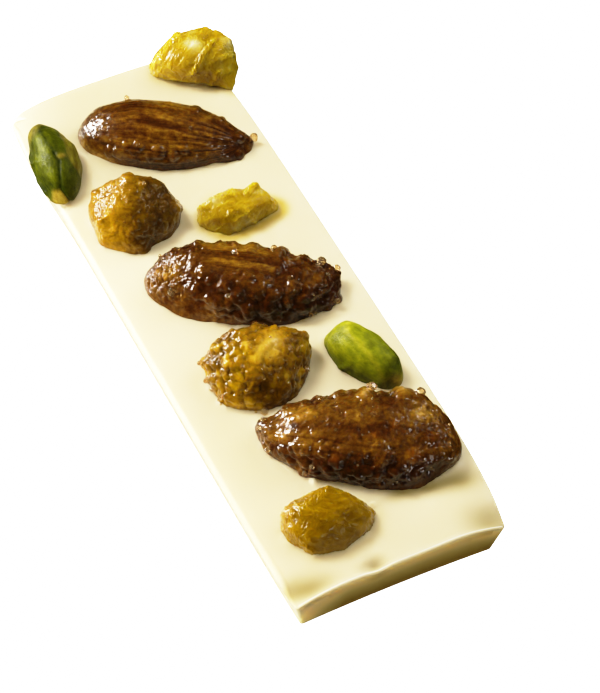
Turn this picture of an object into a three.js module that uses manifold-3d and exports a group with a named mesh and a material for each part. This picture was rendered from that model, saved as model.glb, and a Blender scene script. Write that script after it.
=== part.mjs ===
// White chocolate mendiant bar: a slab cast in an open mould, with caramelised almonds and
// hazelnuts, pistachio kernels and golden raisins pressed into its top while it was soft.
// Millimetres, +Z up. Origin: middle of the flat underside. +X runs along the bar towards
// its plain end, +Y across it.
import * as THREE from "three";
import { mergeVertices } from "three/addons/utils/BufferGeometryUtils.js";
import Module from "manifold-3d";

const wasm = await Module();
wasm.setup();

// Slab. The rim is the outline of the open face; the walls draw in towards the underside.
const SLAB_LENGTH = 95;
const SLAB_WIDTH = 30;
const CROWN_HEIGHT = 8.5;
const END_FALL = 0.7;
const END_FALL_POWER = 10;
const SIDE_FALL = 0.7;
const SIDE_FALL_POWER = 4;
const CORNER_FALL = 1.1;
const CORNER_FALL_POWER = 5;
const WALL_DRAFT = 1.15;
const CORNER_RADIUS = 1.2;
const SHOULDER_RADIUS = 0.5;
const FOOT_RADIUS = 0.6;
const END_SWELL = 0.3;
const LEFT_SWELL = 0.3;
const RIGHT_SWELL = 1.1;
const SWELL_POWER = 6;
const LEFT_BULGE = { x: -39, reach: 9, out: 0.9 };
const LONG_STEPS = 18;
const END_STEPS = 10;
const TOP_RINGS = [0.94, 0.84, 0.66, 0.35];

// Toppings. x, y: the middle on the slab. turn: degrees from +X to the tip. long, wide, tall:
// the bare kernel. lift: the middle above the crown of the slab. tip: 0.5 round, more pointed.
const ALMONDS = [
  { name: "almond_1", x: -31.2, y: 2.4, turn: 56, long: 26.4, wide: 12.5, tall: 8.8, lift: 1.2, tip: 0.72 },
  { name: "almond_2", x: -1.2, y: 0.4, turn: 58, long: 26, wide: 12.2, tall: 8.8, lift: 1.4, tip: 0.55 },
  { name: "almond_3", x: 29.4, y: 2.6, turn: 58.6, long: 25.6, wide: 13.6, tall: 9.4, lift: 1.5, tip: 0.42 },
];
const HAZELNUTS = [
  { name: "hazelnut_1", x: -19.1, y: -7.8, turn: 66, long: 12.2, wide: 11.7, tall: 11, lift: 1, tip: 0.52 },
  { name: "hazelnut_2", x: 12.6, y: -3.8, turn: 99, long: 14.6, wide: 12.4, tall: 12, lift: 1, tip: 0.56 },
];
const PISTACHIOS = [
  { name: "pistachio_1", x: -33.6, y: -13.8, turn: -4, long: 15.8, wide: 6.9, tall: 7.6, lift: 1.4, tip: 0.52 },
  { name: "pistachio_2", x: 17.4, y: 9.7, turn: 22, long: 13.5, wide: 6.3, tall: 7.6, lift: 1.4, tip: 0.63 },
];
const RAISINS = [
  { name: "raisin_1", x: -43.5, y: 12.4, turn: 73, long: 13, wide: 9.8, tall: 7.4, lift: 1.6, tip: 0.4 },
  { name: "raisin_2", x: -14.4, y: 5.7, turn: 83, long: 11.9, wide: 7.1, tall: 5.6, lift: 0.8, tip: 0.48 },
  { name: "raisin_3", x: 39.1, y: -6.8, turn: 86, long: 11.9, wide: 8.9, tall: 6.4, lift: 1, tip: 0.41 },
];
const ROUND_END = 0.5;
const SEAT_GAP = 0.45;
const SEAT_FACET = 8;
const SEAT_DETAIL_LEAST = 2;

// Relief on the toppings. It fades out over this height above the slab.
const RELIEF_FADE = 1.2;
const SKIN_RIDGES = { around: 7, height: 0.22, sway: 0.5 };
const CRUST = { count: 95, reach: 2.1, height: 0.75 };
const GRANULES = { count: 90, reach: 1.7, height: 0.5 };
const FACETS = { count: 26, reach: 3, height: 0.55 };
const FOLDS = { spacing: 2.9, depth: 0.55, sway: 0.9 };
const KERNEL_GROOVE = { depth: 0.3, reach: 0.35 };

// Vertex steps along an icosahedron edge: finer where the relief is finer.
const ALMOND_DETAIL = 8;
const HAZELNUT_DETAIL = 7;
const PISTACHIO_DETAIL = 4;
const RAISIN_DETAIL = 5;

const CHOCOLATE_LOOK = { color: "#f4edd2", roughness: 0.38, metalness: 0 };
const ALMOND_LOOK = { color: "#5c2f14", roughness: 0.25, metalness: 0 };
const HAZELNUT_LOOK = { color: "#8f6020", roughness: 0.28, metalness: 0 };
const PISTACHIO_LOOK = { color: "#6f8a2c", roughness: 0.42, metalness: 0 };
const RAISIN_LOOK = { color: "#a98a22", roughness: 0.2, metalness: 0 };

// Repeatable random numbers from 0 to 1.
function seededRandom(seed) {
  let state = seed >>> 0;
  return () => {
    state = (state + 0x6d2b79f5) >>> 0;
    let mixed = Math.imul(state ^ (state >>> 15), 1 | state);
    mixed = (mixed + Math.imul(mixed ^ (mixed >>> 7), 61 | mixed)) ^ mixed;
    return ((mixed ^ (mixed >>> 14)) >>> 0) / 4294967296;
  };
}

// The slab's plan: u from -1 to 1 along the bar, v from -1 to 1 across it.
function slabHalfWidth(u, v) {
  const swell = (v > 0 ? RIGHT_SWELL : LEFT_SWELL) * (1 - Math.abs(u) ** SWELL_POWER);
  const away = ((u * SLAB_LENGTH) / 2 - LEFT_BULGE.x) / LEFT_BULGE.reach;
  const bulge = v < 0 ? LEFT_BULGE.out * Math.exp(-away * away) : 0;
  return SLAB_WIDTH / 2 + swell + bulge;
}

function slabPlan(u, v, inset) {
  const halfX = SLAB_LENGTH / 2 + END_SWELL * (1 - v * v) - inset;
  const halfY = slabHalfWidth(u, v) - inset;
  let x = Math.abs(u) * halfX;
  let y = Math.abs(v) * halfY;
  const cornerX = x - halfX + CORNER_RADIUS;
  const cornerY = y - halfY + CORNER_RADIUS;
  if (cornerX > 0 && cornerY > 0) {
    const pull = Math.max(cornerX, cornerY) / Math.hypot(cornerX, cornerY);
    x += cornerX * (pull - 1);
    y += cornerY * (pull - 1);
  }
  return [Math.sign(u) * x, Math.sign(v) * y];
}

function slabTop(u, v) {
  const along = Math.abs(u);
  const across = Math.abs(v);
  const end = END_FALL * along ** END_FALL_POWER;
  const side = SIDE_FALL * across ** SIDE_FALL_POWER;
  const corner = CORNER_FALL * along ** CORNER_FALL_POWER * across ** CORNER_FALL_POWER;
  return CROWN_HEIGHT - end - side - corner;
}

// Points round the edge of the plan, closer together near the corners.
function slabRim() {
  const points = [];
  const side = (steps, place) => {
    for (let i = 0; i < steps; i += 1) {
      points.push(place(Math.sin((i / steps - 0.5) * Math.PI)));
    }
  };
  side(LONG_STEPS, (s) => [s, -1]);
  side(END_STEPS, (s) => [1, s]);
  side(LONG_STEPS, (s) => [-s, 1]);
  side(END_STEPS, (s) => [-1, -s]);
  return points;
}

// A closed skin from rings of the same length, with a point at the middle of each end.
function skinOfRings(rings, first, last) {
  const count = rings[0].length;
  const positions = [...rings.flat(), first, last].flat();
  const firstIndex = rings.length * count;
  const index = [];
  for (let i = 0; i < count; i += 1) {
    const next = (i + 1) % count;
    index.push(firstIndex, next, i);
    for (let r = 0; r + 1 < rings.length; r += 1) {
      const low = r * count;
      const high = low + count;
      index.push(low + i, low + next, high + next, low + i, high + next, high + i);
    }
    const top = (rings.length - 1) * count;
    index.push(top + i, top + next, firstIndex + 1);
  }
  const geometry = new THREE.BufferGeometry();
  geometry.setAttribute("position", new THREE.Float32BufferAttribute(positions, 3));
  geometry.setIndex(index);
  return geometry;
}

function slabGeometry() {
  const rim = slabRim();
  const ring = (inset, height) => rim.map(([u, v]) => [...slabPlan(u, v, inset), height(u, v)]);
  const foot = 0.3 * FOOT_RADIUS;
  const shoulder = 0.3 * SHOULDER_RADIUS;
  const rings = [
    ring(WALL_DRAFT + FOOT_RADIUS, () => 0),
    ring(WALL_DRAFT + foot, () => foot),
    ring(WALL_DRAFT * (1 - FOOT_RADIUS / CROWN_HEIGHT), () => FOOT_RADIUS),
    ring(0, (u, v) => slabTop(u, v) - SHOULDER_RADIUS),
    ring(shoulder, (u, v) => slabTop(u, v) - shoulder),
    ring(SHOULDER_RADIUS, slabTop),
  ];
  TOP_RINGS.forEach((scale) => {
    rings.push(rim.map(([u, v]) => {
      const plan = slabPlan(u * scale, v * scale, SHOULDER_RADIUS);
      return [...plan, slabTop(u * scale, v * scale)];
    }));
  });
  return skinOfRings(rings, [0, 0, 0], [0, 0, CROWN_HEIGHT]);
}

// A kernel's bare surface for a direction on the unit sphere: a body of revolution squashed to
// its width and height, with its tip on +X.
function kernelSurface({ long, wide, tall, tip }) {
  const widest = (ROUND_END - tip) / (ROUND_END + tip);
  const most = (1 + widest) ** ROUND_END * (1 - widest) ** tip;
  return (direction) => {
    const t = THREE.MathUtils.clamp(direction.x, -1, 1);
    const round = Math.hypot(direction.y, direction.z) || 1;
    const girth = ((1 + t) ** ROUND_END * (1 - t) ** tip) / most / round;
    const y = (wide / 2) * girth * direction.y;
    const z = (tall / 2) * girth * direction.z;
    return new THREE.Vector3((long / 2) * t, y, z);
  };
}

function kernelGeometry(topping, detail) {
  const sphere = new THREE.IcosahedronGeometry(1, detail);
  sphere.deleteAttribute("normal");
  sphere.deleteAttribute("uv");
  const geometry = mergeVertices(sphere);
  const surface = kernelSurface(topping);
  const position = geometry.attributes.position;
  const point = new THREE.Vector3();
  for (let i = 0; i < position.count; i += 1) {
    point.fromBufferAttribute(position, i).normalize();
    position.setXYZ(i, ...surface(point));
  }
  geometry.computeVertexNormals();
  return geometry;
}

// Moves every vertex along its normal by relief(point) millimetres.
function raise(geometry, relief) {
  const { position, normal } = geometry.attributes;
  const point = new THREE.Vector3();
  const outward = new THREE.Vector3();
  for (let i = 0; i < position.count; i += 1) {
    point.fromBufferAttribute(position, i);
    outward.fromBufferAttribute(normal, i);
    point.addScaledVector(outward, relief(point));
    position.setXYZ(i, ...point);
  }
  geometry.deleteAttribute("normal");
  return geometry;
}

// Rounded lumps spread over a kernel by the golden angle, each a little out of its place.
function lumpRelief(topping, { count, reach, height }, seed) {
  const random = seededRandom(seed);
  const surface = kernelSurface(topping);
  const goldenAngle = Math.PI * (3 - Math.sqrt(5));
  const lumps = [];
  for (let i = 0; i < count; i += 1) {
    const x = 1 - (2 * (i + 0.5)) / count;
    const angle = i * goldenAngle + random() - 0.5;
    const round = Math.sqrt(1 - x * x);
    const direction = new THREE.Vector3(x, round * Math.cos(angle), round * Math.sin(angle));
    const spread = reach * (0.75 + 0.5 * random());
    lumps.push({ at: surface(direction), spread, high: height * (0.5 + 0.7 * random()) });
  }
  return (point) => lumps.reduce((most, { at, spread, high }) => {
    const near = Math.max(0, 1 - point.distanceToSquared(at) / (spread * spread));
    return Math.max(most, high * near ** 1.5);
  }, 0);
}

// Long swaying ridges in the skin of a bare almond, dying out towards both ends.
function ridgeRelief({ long, wide, tall }, { around, height, sway }) {
  return (point) => {
    const t = (2 * point.x) / long;
    const angle = Math.atan2(point.z / tall, point.y / wide);
    const wave = Math.cos(around * angle + sway * Math.sin(2 * t));
    return height * wave * Math.max(0, 1 - t ** 4);
  };
}

// Bent creases in a dried fruit.
function foldRelief({ spacing, depth, sway }, phase) {
  return (point) => {
    const bend = sway * (Math.sin(point.y * 0.8 + phase) + Math.sin(point.z * 1.1 - 2 * phase));
    const along = Math.abs(Math.sin((Math.PI * (point.x + bend)) / spacing + phase));
    const across = Math.abs(Math.sin((Math.PI * (point.y - bend)) / (1.4 * spacing) - phase));
    return -depth * (1 - Math.min(along, across)) ** 2;
  };
}

// The groove along the top of a pistachio kernel, a little to one side.
function grooveRelief({ wide }, { depth, reach }, shift) {
  return (point) => {
    const away = (2 * point.y) / wide - shift;
    return -depth * Math.exp(-((away / reach) ** 2));
  };
}

function shapedTopping(topping, detail, relief) {
  const base = -topping.lift;
  return raise(kernelGeometry(topping, detail), (point) => {
    const shown = THREE.MathUtils.smoothstep(point.z, base, base + RELIEF_FADE);
    return shown * relief(point);
  });
}

function place(object, { x, y, turn, lift }) {
  object.position.set(x, y, CROWN_HEIGHT + lift);
  object.rotation.z = THREE.MathUtils.degToRad(turn);
  object.updateMatrix();
  return object;
}

function addPiece(parent, name, geometry, look) {
  const mesh = new THREE.Mesh(geometry, new THREE.MeshStandardMaterial(look));
  mesh.name = name;
  parent.add(mesh);
  return mesh;
}

function toManifold(geometry) {
  const vertProperties = new Float32Array(geometry.attributes.position.array);
  const triVerts = new Uint32Array(geometry.index.array);
  return new wasm.Manifold(new wasm.Mesh({ numProp: 3, vertProperties, triVerts }));
}

function fromManifold(solid) {
  const { numProp, vertProperties, triVerts } = solid.getMesh();
  const geometry = new THREE.BufferGeometry();
  geometry.setAttribute("position", new THREE.BufferAttribute(vertProperties, numProp));
  geometry.setIndex(new THREE.BufferAttribute(triVerts, 1));
  return geometry;
}

// The hollow that a topping sits in, a little larger than its bare kernel.
function seatSolid(topping) {
  const detail = Math.max(SEAT_DETAIL_LEAST, Math.round(topping.long / SEAT_FACET));
  const seat = raise(kernelGeometry(topping, detail), () => SEAT_GAP);
  seat.applyMatrix4(place(new THREE.Object3D(), topping).matrix);
  return toManifold(seat);
}

const bar = new THREE.Group();
bar.name = "mendiant_bar";

const toppings = [...ALMONDS, ...HAZELNUTS, ...PISTACHIOS, ...RAISINS];
const slab = toppings.reduce(
  (solid, topping) => solid.subtract(seatSolid(topping)),
  toManifold(slabGeometry()),
);
addPiece(bar, "slab", fromManifold(slab), CHOCOLATE_LOOK);

ALMONDS.forEach((almond, i) => {
  const bare = i === 0;
  const relief = bare ? ridgeRelief(almond, SKIN_RIDGES) : lumpRelief(almond, CRUST, 11 + i);
  place(addPiece(bar, almond.name, shapedTopping(almond, ALMOND_DETAIL, relief), ALMOND_LOOK), almond);
});

HAZELNUTS.forEach((nut, i) => {
  const relief = lumpRelief(nut, i === 0 ? FACETS : GRANULES, 31 + i);
  place(addPiece(bar, nut.name, shapedTopping(nut, HAZELNUT_DETAIL, relief), HAZELNUT_LOOK), nut);
});

PISTACHIOS.forEach((nut, i) => {
  const relief = grooveRelief(nut, KERNEL_GROOVE, i === 0 ? 0.3 : -0.3);
  place(addPiece(bar, nut.name, shapedTopping(nut, PISTACHIO_DETAIL, relief), PISTACHIO_LOOK), nut);
});

RAISINS.forEach((raisin, i) => {
  const relief = foldRelief(FOLDS, 0.7 + i);
  place(addPiece(bar, raisin.name, shapedTopping(raisin, RAISIN_DETAIL, relief), RAISIN_LOOK), raisin);
});

export default bar;
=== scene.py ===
import itertools
import math
import bmesh
import bpy
import numpy as np
from mathutils import Matrix, Vector
from mathutils.bvhtree import BVHTree


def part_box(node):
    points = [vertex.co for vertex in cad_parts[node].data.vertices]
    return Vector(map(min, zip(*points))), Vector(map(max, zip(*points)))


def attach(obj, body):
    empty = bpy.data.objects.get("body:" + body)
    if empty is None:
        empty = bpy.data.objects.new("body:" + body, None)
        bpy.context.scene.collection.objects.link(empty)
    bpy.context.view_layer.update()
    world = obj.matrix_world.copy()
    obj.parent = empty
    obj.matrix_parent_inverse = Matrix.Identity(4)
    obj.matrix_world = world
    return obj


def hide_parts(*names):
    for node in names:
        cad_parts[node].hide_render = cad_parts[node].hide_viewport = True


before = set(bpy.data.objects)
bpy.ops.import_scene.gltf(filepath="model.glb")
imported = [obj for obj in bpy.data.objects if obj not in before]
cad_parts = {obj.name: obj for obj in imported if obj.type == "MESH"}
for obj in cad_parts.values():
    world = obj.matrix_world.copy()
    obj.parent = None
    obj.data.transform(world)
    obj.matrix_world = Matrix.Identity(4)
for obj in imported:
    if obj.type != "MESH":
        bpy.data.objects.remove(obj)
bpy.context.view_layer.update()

# Slab
# White chocolate poured into an open bar mould: flat underneath, with walls that lean out to a rim that is
# soft on the left and crisp elsewhere. The open top set with a slight crown, low corners, a few dips and a
# thin lip along the near end.
MM = 0.001
slab_high = np.array(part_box("slab")[1]) / MM
END_SWELL, RIGHT_SWELL, LEFT_SWELL = 0.3, 1.1, 0.85
LEFT_BULGE_AT, LEFT_BULGE_REACH, LEFT_BULGE = -39.0, 8.0, 0.5
LEFT_UNDERCUT, NEAR_UNDERCUT = 0.55, 0.6
HALF_LONG = slab_high[0] - END_SWELL
HALF_WIDE = slab_high[1] - RIGHT_SWELL
CROWN = slab_high[2]
END_FALL, SIDE_FALL, CORNER_FALL = 0.7, 0.7, 1.1
SHOULDER, LEFT_SHOULDER, SHOULDER_FADE = 0.22, 0.85, 0.08
WALL_DRAFT, FOOT = 1.15, 0.4
FOOT_INSET = WALL_DRAFT * (1 - FOOT / CROWN)
NEAR_CORNER, FAR_CORNER = 0.45, 1.8
LIP, LIP_REACH, LIP_HIGHLIGHT_LINE = 0.12, 0.4, 0.05
STEPS_LONG, STEPS_WIDE = 420, 140
SHOULDER_STEPS, WALL_STEPS, FOOT_STEPS = 7, 8, 4
# Dips in the top, bumps where the depth is below zero, and flat patches where it is zero: x, y, reach
# along, reach across, depth, and how much painted shade darkens the colour there. Shade is painted into the
# dips, as a cast shadow over the three shallow dips beside the third almond, and over two broad stretches
# of the top.
DIPS = [
    (45.0, -14.4, 1.5, 2.6, 0.35, 0.65),
    (46.3, -11.8, 1.3, 2.8, 0.4, 0.65),
    (46.8, -3.6, 1.0, 1.5, 0.7, 0.55),
    (46.2, 13.2, 2.2, 3.2, 0.55, 0.75),
    (38.4, 4.4, 1.2, 2.4, 0.15, 0.75),
    (39.2, 8.2, 1.3, 2.6, 0.15, 0.75),
    (39.6, 12.4, 1.8, 2.8, 0.15, 0.8),
    (32.0, -5.1, 0.9, 0.4, -0.45, 0),
    (38.6, 0.2, 0.35, 0.35, -0.4, 0),
    (42.4, -9.8, 0.35, 0.4, -0.3, 0),
    (37.8, -12.3, 0.3, 0.3, -0.2, 0),
    (-40.0, -2.0, 18.0, 22.0, 0, 0.22),
    (26.0, -12.0, 18.0, 6.0, 0, 0.16),
]


def shoulder(u, v):
    """How wide the rounding between top and wall is: soft on the left, crisp elsewhere."""
    from_end = np.clip((1 - np.abs(u)) / SHOULDER_FADE, 0, 1)
    return SHOULDER + np.where(v < 0, (LEFT_SHOULDER - SHOULDER) * from_end**2 * (3 - 2 * from_end), 0)


def slab_plan(u, v, inset, side_inset, deep=0.0):
    """Plan of the slab in mm: u runs from -1 to 1 along the bar, v across it, deep from rim to foot."""
    bowed = 1 - np.abs(u) ** 6
    away = (u * HALF_LONG - LEFT_BULGE_AT) / LEFT_BULGE_REACH
    left = (LEFT_SWELL - LEFT_UNDERCUT * deep) * bowed + LEFT_BULGE * np.exp(-away * away)
    half_y = HALF_WIDE + np.where(v > 0, RIGHT_SWELL * bowed, left) - side_inset
    half_x = HALF_LONG + (END_SWELL - np.where(u > 0, NEAR_UNDERCUT * deep, 0)) * (1 - v * v) - inset
    radius = np.where(u > 0, NEAR_CORNER, FAR_CORNER)
    x, y = np.abs(u) * half_x, np.abs(v) * half_y
    corner_x, corner_y = x - half_x + radius, y - half_y + radius
    reach = np.hypot(corner_x, corner_y)
    pull = np.maximum(corner_x, corner_y) / np.maximum(reach, 1e-9) - 1
    pull = np.where((corner_x > 0) & (corner_y > 0), pull, 0)
    return np.sign(u) * (x + corner_x * pull), np.sign(v) * (y + corner_y * pull)


def band(away, reach):
    """1 on a line, fading to 0 beyond a reach to both sides of it."""
    return np.exp(-((away / reach) ** 2))


def patch(x, y, at_x, at_y, reach_x, reach_y):
    """A soft-edged spot: 1 in its middle, 0 well outside its reach."""
    return np.exp(-(((x - at_x) / reach_x) ** 2) - ((y - at_y) / reach_y) ** 2)


def slab_top(u, v, x, y):
    """Height of the open face in mm."""
    along, across = np.abs(u), np.abs(v)
    height = CROWN - END_FALL * along**10 - SIDE_FALL * across**4
    height = height - CORNER_FALL * along**5 * across**5
    for *dip, depth, _ in DIPS:
        height = height - depth * patch(x, y, *dip)
    inside = HALF_LONG + END_SWELL * (1 - v * v) - SHOULDER - x
    return height + LIP * (1 - np.clip(v, 0, 1) ** 12) * band(inside, LIP_REACH)


def make_object(name, points, faces, matrix=Matrix.Identity(4)):
    """A smooth-shaded mesh object from points in mm, placed in the shared frame."""
    mesh = bpy.data.meshes.new(name)
    mesh.from_pydata((np.asarray(points) * MM).tolist(), [], [list(face) for face in faces])
    mesh.polygons.foreach_set("use_smooth", np.ones(len(mesh.polygons), dtype=bool))
    mesh.update()
    piece = bpy.data.objects.new(name, mesh)
    bpy.context.scene.collection.objects.link(piece)
    piece.matrix_world = matrix
    return piece


def set_inputs(tree, node, inputs):
    """Sets or links the named inputs of a node."""
    for name, value in inputs.items():
        if isinstance(value, bpy.types.NodeSocket):
            tree.links.new(value, node.inputs[name])
        else:
            node.inputs[name].default_value = value


def add_node(tree, kind, inputs, **settings):
    """Adds a shader node, sets its properties, and sets or links its inputs."""
    node = tree.nodes.new(kind)
    for name, value in settings.items():
        setattr(node, name, value)
    set_inputs(tree, node, inputs)
    return node


def mix_colour(tree, factor, first, second, blend="MIX"):
    """Colour between first and second, by the colour sockets of a Mix node."""
    inputs = {0: factor, 6: first, 7: second}
    return add_node(tree, "ShaderNodeMix", inputs, data_type="RGBA", blend_type=blend).outputs[2]


def colour_ramp(tree, factor, *stops):
    """Colour that runs through the stops, each (position, linear red, green, blue)."""
    node = add_node(tree, "ShaderNodeValToRGB", {"Fac": factor})
    elements = node.color_ramp.elements
    while len(elements) < len(stops):
        elements.new(0.5)
    for element, (position, *colour) in zip(elements, stops):
        element.position = position
        element.color = (*colour, 1)
    return node.outputs["Color"]


def own_place(tree):
    """Where a point lies on its own piece."""
    return add_node(tree, "ShaderNodeTexCoord", {}).outputs["Object"]


def cloudy(tree, place, scale, detail, **more):
    """Noise in a material, its scale per metre."""
    inputs = {"Vector": place, "Scale": scale, "Detail": detail, **more}
    return add_node(tree, "ShaderNodeTexNoise", inputs).outputs["Fac"]


def bumped(tree, height, strength, rise, **more):
    """Normals of a surface with a fine relief that rises so many mm."""
    inputs = {"Height": height, "Strength": strength, "Distance": rise * MM, **more}
    return add_node(tree, "ShaderNodeBump", inputs).outputs["Normal"]


def new_material(name):
    """A material with its node tree and its Principled shader."""
    made = bpy.data.materials.new(name)
    made.use_nodes = True
    return made, made.node_tree, made.node_tree.nodes["Principled BSDF"]


def mask(tree, name):
    """The number stored per vertex under a name."""
    return add_node(tree, "ShaderNodeAttribute", {}, attribute_name=name).outputs["Fac"]


def set_mask(piece, name, values):
    """Stores one number per vertex for the shader."""
    piece.data.attributes.new(name, "FLOAT", "POINT").data.foreach_set("value", values.astype(np.float32))


def closer_ends(count):
    """Steps from -1 to 1 that lie closer together towards both ends."""
    even = np.linspace(-1, 1, count + 1)
    return 0.55 * even + 0.45 * np.sin(even * math.pi / 2)


grid_u, grid_v = np.meshgrid(closer_ends(STEPS_LONG), closer_ends(STEPS_WIDE), indexing="ij")
index = np.arange(grid_u.size).reshape(grid_u.shape)
top_x, top_y = slab_plan(grid_u, grid_v, SHOULDER, shoulder(grid_u, grid_v))
top_z = slab_top(grid_u, grid_v, top_x, top_y)
slab_points = [np.stack([top_x.ravel(), top_y.ravel(), top_z.ravel()], axis=1)]
slab_faces = np.stack(
    [index[:-1, :-1].ravel(), index[1:, :-1].ravel(), index[1:, 1:].ravel(), index[:-1, 1:].ravel()], axis=1
).tolist()
rim = np.concatenate([index[:-1, 0], index[-1, :-1], index[:0:-1, -1], index[0, :0:-1]])
rim_u, rim_v, rim_z = grid_u.ravel()[rim], grid_v.ravel()[rim], top_z.ravel()[rim]
rim_shoulder = shoulder(rim_u, rim_v)
rings = []
for turn in np.linspace(0, math.pi / 2, SHOULDER_STEPS + 1)[1:]:
    left_out = 1 - math.sin(turn)
    fallen = rim_shoulder * (1 - math.cos(turn))
    rings.append((SHOULDER * left_out, rim_shoulder * left_out, rim_z - fallen, 0))
for share in np.linspace(0, 1, WALL_STEPS + 1)[1:]:
    height = (rim_z - rim_shoulder) * (1 - share) + FOOT * share
    rings.append((FOOT_INSET * share, FOOT_INSET * share, height, share))
for turn in np.linspace(0, math.pi / 2, FOOT_STEPS + 1)[1:]:
    inset = FOOT_INSET + FOOT * (1 - math.cos(turn))
    rings.append((inset, inset, np.full(len(rim), FOOT * (1 - math.sin(turn))), 1))
wall_shade = [np.zeros(grid_u.size)]
above = rim
for inset, side_inset, height, deep in rings:
    x, y = slab_plan(rim_u, rim_v, inset, side_inset, deep)
    below = sum(map(len, slab_points)) + np.arange(len(rim))
    slab_points.append(np.stack([x, y, height], axis=1))
    slab_faces += np.stack([above, below, np.roll(below, -1), np.roll(above, -1)], axis=1).tolist()
    wall_shade.append(np.clip((y / HALF_WIDE + 1) * 2, 0, 1) * deep)
    above = below
slab_faces.append(above[::-1].tolist())
slab = make_object("slab_white_chocolate", np.concatenate(slab_points), slab_faces)
set_mask(slab, "wall", np.concatenate(wall_shade))
slab_x, slab_y, slab_z = np.concatenate(slab_points).T
# Painted shade, summed from the dips table, on the top only.
hollow_and_shade = np.zeros(len(slab_x))
for *dip, _, tint in DIPS:
    hollow_and_shade += tint * patch(slab_x, slab_y, *dip)
set_mask(slab, "hollow_and_shade", np.clip(hollow_and_shade, 0, 1) * (slab_z > CROWN - 3))
# A paler line painted along the near rim, as a highlight.
to_rim = HALF_LONG + END_SWELL * (1 - (slab_y / HALF_WIDE) ** 2) - SHOULDER - slab_x
on_face = np.arange(len(slab_x)) < grid_u.size + len(rim)
set_mask(slab, "lip_highlight", band(np.maximum(to_rim, 0), LIP_HIGHLIGHT_LINE) * on_face)
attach(slab, "root")
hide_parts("slab")

chocolate, tree, shader = new_material("white_chocolate")
place = own_place(tree)
cream = colour_ramp(tree, cloudy(tree, place, 90, 2), (0.3, 0.575, 0.49, 0.31), (0.7, 0.60, 0.515, 0.335))
# How much amber light falls where is stored once the raisins are set.
amber_cast = colour_ramp(tree, mask(tree, "amber"), (0.0, 1, 1, 1), (1.0, 0.8, 0.68, 0.24))
lit = mix_colour(tree, 1.0, cream, amber_cast, "MULTIPLY")
with_painted_shade = mix_colour(tree, mask(tree, "hollow_and_shade"), lit, (0.27, 0.21, 0.07, 1))
# Painted light and shade on the walls: lighter just under the rim, where light comes through the chocolate
# from the top, and darker towards the foot; it fades out towards the left wall.
shade = colour_ramp(
    tree, mask(tree, "wall"), (0.0, 1.1, 1.1, 1.1), (0.1, 1.55, 1.5, 1.15), (0.27, 1.5, 1.4, 0.9),
    (0.485, 1.05, 0.94, 0.5), (0.86, 0.6, 0.47, 0.16)
)
tinted = mix_colour(tree, 1.0, with_painted_shade, shade, "MULTIPLY")
# The rim line is a painted highlight.
lip_highlighted = mix_colour(tree, mask(tree, "lip_highlight"), tinted, (0.76, 0.7, 0.54, 1))
satin = bumped(tree, cloudy(tree, place, 1600, 3), 0.1, 0.05)
set_inputs(tree, shader, {
    "Base Color": lip_highlighted, "Roughness": 0.36, "Specular IOR Level": 0.25, "Normal": satin,
    "Subsurface Weight": 1.0, "Subsurface Radius": (1.0, 1.0, 1.0), "Subsurface Scale": 2 * MM,
})
slab.data.materials.append(chocolate)

# Almonds
# Whole almonds boiled in sugar until it caramelised: the first keeps its grooved brown skin under a thin
# clear glaze, the other two carry a crust of fused sugar lumps. Each lies on its flat side, half sunk.
ROUND_END = 0.5
SKIRT = 0.35
SUNK, MEETS = 0.9, 0.35
SPOKES = 240
NUT_CUTS, NUT_LIFT = 7, 0.35
# How far apart the swells, crumbs, grit and fine grain of the sugar lie, in mm.
ALMOND_SWELL, ALMOND_CRUMB, ALMOND_GRIT, ALMOND_FINE = 3.2, 1.7, 0.7, 0.45
# The way the photo's viewer looks at the bar.
AZIMUTH, ELEVATION = math.radians(64.2), math.radians(50.4)
back = Vector((
    math.sin(AZIMUTH) * math.cos(ELEVATION), -math.cos(AZIMUTH) * math.cos(ELEVATION), math.sin(ELEVATION)
))
right = Vector((math.cos(AZIMUTH), math.sin(AZIMUTH), 0))
up = back.cross(right)
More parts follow.
